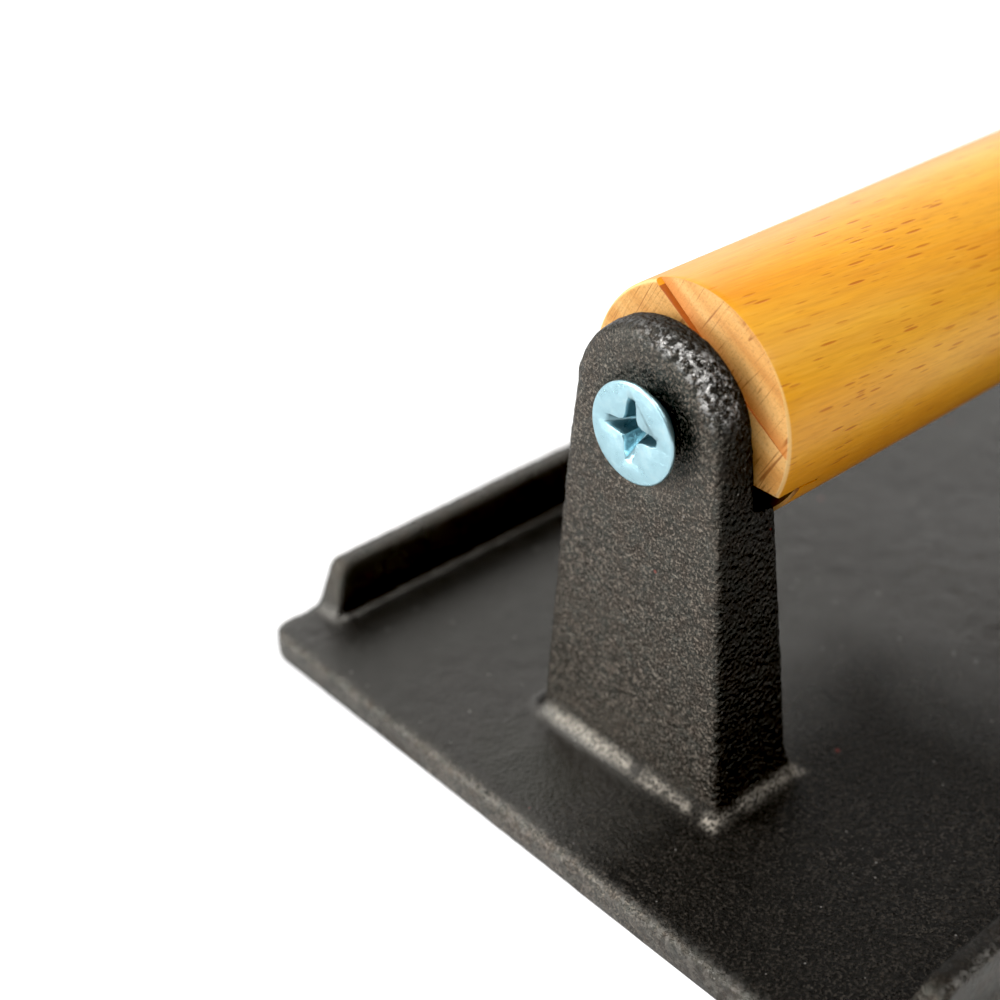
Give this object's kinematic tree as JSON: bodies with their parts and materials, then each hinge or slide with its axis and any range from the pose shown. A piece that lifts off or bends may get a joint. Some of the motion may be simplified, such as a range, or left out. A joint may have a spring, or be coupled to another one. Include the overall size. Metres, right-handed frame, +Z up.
{
  "type": "patty press",
  "caption": "Hand-held cast-iron patty press: flat rectangular plate with low side rails and end posts carrying a round beech handle on countersunk screws.",
  "frame": {"origin": "centre of the underside, which is the flat pressing face", "axes": "+X along the handle and the plate's long side, +Y across the plate, +Z up"},
  "size_m": [0.21, 0.108, 0.0688],
  "materials": {
    "black_iron": "seasoned black as-cast skin, pebbly and slightly oily",
    "beech": "golden clear lacquer over turned beech, short darker flecks along the grain",
    "zinc_steel": "bright bluish zinc plate, satin"
  },
  "bodies": {
    "press": {"base_casting": "black_iron", "handle_grip": "beech"},
    "front_screw": {"front_handle_screw": "zinc_steel"},
    "rear_screw": {"rear_handle_screw": "zinc_steel"}
  },
  "joints": [
    {"name": "front_screw_turn", "type": "hinge", "parent": "press", "child": "front_screw", "pos_m": [-0.0895, 0, 0.0537], "axis": [-1, 0, 0], "range_deg": [0, 4140]},
    {"name": "rear_screw_turn", "type": "hinge", "parent": "press", "child": "rear_screw", "pos_m": [0.0895, 0, 0.0537], "axis": [1, 0, 0], "range_deg": [0, 4140]}
  ]
}
